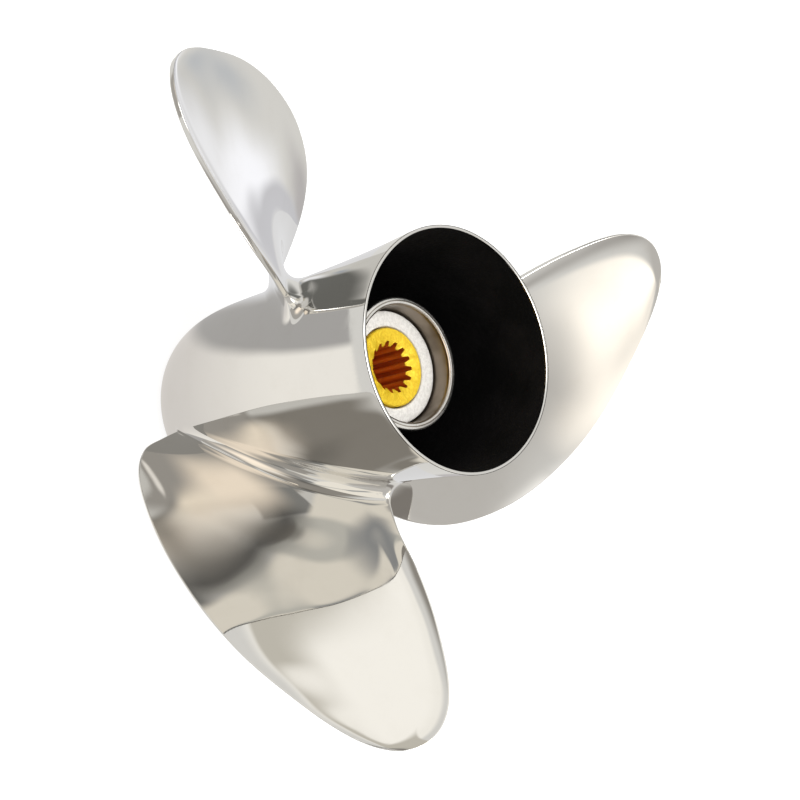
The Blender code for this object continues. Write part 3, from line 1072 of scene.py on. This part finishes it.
def rib_shape(number):
    """A rib from the hub to the barrel, curved at both ends."""
    shape = bmesh.new()
    bmesh.ops.create_cube(shape, size=1.0)
    length = RIB_TOP - RIB_BOTTOM
    bmesh.ops.scale(shape, verts=shape.verts[:], vec=(1.0, RIB_THICKNESS, length))
    bmesh.ops.translate(shape, verts=shape.verts[:], vec=(0, 0, RIB_BOTTOM + length / 2))
    ends = [edge for edge in shape.edges if abs(edge.verts[0].co.z - edge.verts[1].co.z) < 1e-6]
    rounded = [edge for edge in ends if abs(edge.verts[0].co.y - edge.verts[1].co.y) < 1e-6]
    bmesh.ops.bevel(
        shape,
        geom=rounded,
        offset=RIB_ROUNDING,
        segments=3,
        profile=0.5,
        affect="EDGES",
        material=-1,
    )
    for step in range(1, RIB_SLICES):
        level = RIB_BOTTOM + length * step / RIB_SLICES
        everything = shape.faces[:] + shape.edges[:] + shape.verts[:]
        bmesh.ops.bisect_plane(shape, geom=everything, plane_co=(0, 0, level), plane_no=(0, 0, 1))
    for corner in shape.verts:
        radius = inside_radius(corner.co.z) if corner.co.x > 0 else HUB_RADIUS
        corner.co.x = math.sqrt(radius * radius - corner.co.y * corner.co.y)
    turn = Matrix.Rotation(2 * math.pi * number / 3, 3, "Z")
    bmesh.ops.rotate(shape, verts=shape.verts[:], cent=(0, 0, 0), matrix=turn)
    bmesh.ops.recalc_face_normals(shape, faces=shape.faces[:])
    return shape


for number in range(3):
    finish_piece(
        f"hub_rib_skin_{number + 1}",
        rib_shape(number),
        (soot_and_shade,),
        f"hub_rib_{number + 1}",
    )

# %% [markdown]
# ## The bushing
# The pale ring is pressed between hub and sleeve, and lets the propeller slip on its shaft
# when a blade strikes something. It is turned like the hub, with softly rounded edges, so
# that a dark line shows where it meets the steel.

# %% Bushing
GAP = 0.0003
BUSHING_TOP = 0.1300
BUSHING_ROUNDING = 0.0007
SEAM = 0.0008
SLEEVE_RADIUS = 0.0195
bushing_profile = (
    (HUB_BORE - SEAM, SHOULDER_TOP + GAP),
    (HUB_BORE - SEAM, BUSHING_TOP),
    (SLEEVE_RADIUS + SEAM, BUSHING_TOP),
    (SLEEVE_RADIUS + SEAM, SHOULDER_TOP + GAP),
)
finish_piece(
    "hub_bushing_skin",
    round_edges(turn_profile(bushing_profile, 160), BUSHING_ROUNDING),
    (pale_rubber,),
    "hub_bushing",
)

# %% [markdown]
# ## The splined sleeve
# The sleeve's bore is broached with fifteen teeth that fit the grooves of the shaft. One
# ring of corners follows the teeth and one follows the outside. A bridge joins them into a
# flat washer, and extruding the washer gives the whole tube with its teeth.

# %% Splined sleeve
SLEEVE_BOTTOM = 0.0080
SLEEVE_TOP = 0.1306
SPLINE_TEETH = 15
SPLINE_ROOT_RADIUS = 0.0129
SPLINE_TIP_RADIUS = 0.0107
SPLINE_LEAD_IN = 0.0020
RIM_OF_TEETH = 0.0003
SLEEVE_CHAMFER = 0.0005


def spline_bore():
    """Corners of the toothed bore: three on each groove, three on each tooth."""
    corners = []
    for number in range(SPLINE_TEETH):
        for share in (-0.15, 0.0, 0.15):
            corners.append((SPLINE_ROOT_RADIUS, 2 * math.pi * (number + share) / SPLINE_TEETH))
        for share in (0.35, 0.5, 0.65):
            corners.append((SPLINE_TIP_RADIUS, 2 * math.pi * (number + share) / SPLINE_TEETH))
    return corners


def sleeve_shape():
    """A washer with teeth, extruded into a tube, with its outer and toothed edges broken."""
    shape = bmesh.new()
    rings = []
    bore = spline_bore()
    for outer in (False, True):
        ring = []
        for radius, angle in bore:
            distance = SLEEVE_RADIUS if outer else radius
            corner = (distance * math.cos(angle), distance * math.sin(angle), SLEEVE_BOTTOM)
            ring.append(shape.verts.new(corner))
        rings += [shape.edges.new((a, b)) for a, b in zip(ring, ring[1:] + ring[:1])]
    bmesh.ops.bridge_loops(shape, edges=rings)
    spokes = [edge for edge in shape.edges if edge not in rings]
    cut = bmesh.ops.subdivide_edges(shape, edges=spokes, cuts=1)
    for corner in cut["geom_inner"]:
        if isinstance(corner, bmesh.types.BMVert):
            corner.co.xy = corner.co.xy.normalized() * (SPLINE_ROOT_RADIUS + RIM_OF_TEETH)
    raised = bmesh.ops.extrude_face_region(shape, geom=shape.faces[:])
    top = [item for item in raised["geom"] if isinstance(item, bmesh.types.BMVert)]
    bmesh.ops.translate(shape, verts=top, vec=(0, 0, SLEEVE_TOP - SLEEVE_BOTTOM))
    for corner in top:
        deep = SPLINE_ROOT_RADIUS - math.hypot(corner.co.x, corner.co.y)
        share = max(0.0, deep) / (SPLINE_ROOT_RADIUS - SPLINE_TIP_RADIUS)
        corner.co.z -= SPLINE_LEAD_IN * share
    bmesh.ops.recalc_face_normals(shape, faces=shape.faces[:])
    ends = [
        edge
        for edge in shape.edges
        if edge.calc_face_angle(0.0) > 1.0
        and min(math.hypot(v.co.x, v.co.y) for v in edge.verts) > SLEEVE_RADIUS - 0.0001
    ]
    bmesh.ops.bevel(
        shape,
        geom=ends,
        offset=SLEEVE_CHAMFER,
        segments=1,
        profile=0.5,
        affect="EDGES",
        material=-1,
    )
    return shape


def sleeve_finish(face):
    """1 for the greased bore, 0 for the bright outside and the two ends."""
    middle = face.calc_center_median()
    in_bore = math.hypot(middle.x, middle.y) < SPLINE_ROOT_RADIUS + 0.0002
    return 1 if in_bore and abs(face.normal.z) < 0.3 else 0


finish_piece(
    "splined_sleeve_skin",
    sleeve_shape(),
    (brass, greased_brass),
    "splined_sleeve",
    pick=sleeve_finish,
)

# %% [markdown]
# ## Close the script

# %% Finish
print("pieces are in place")
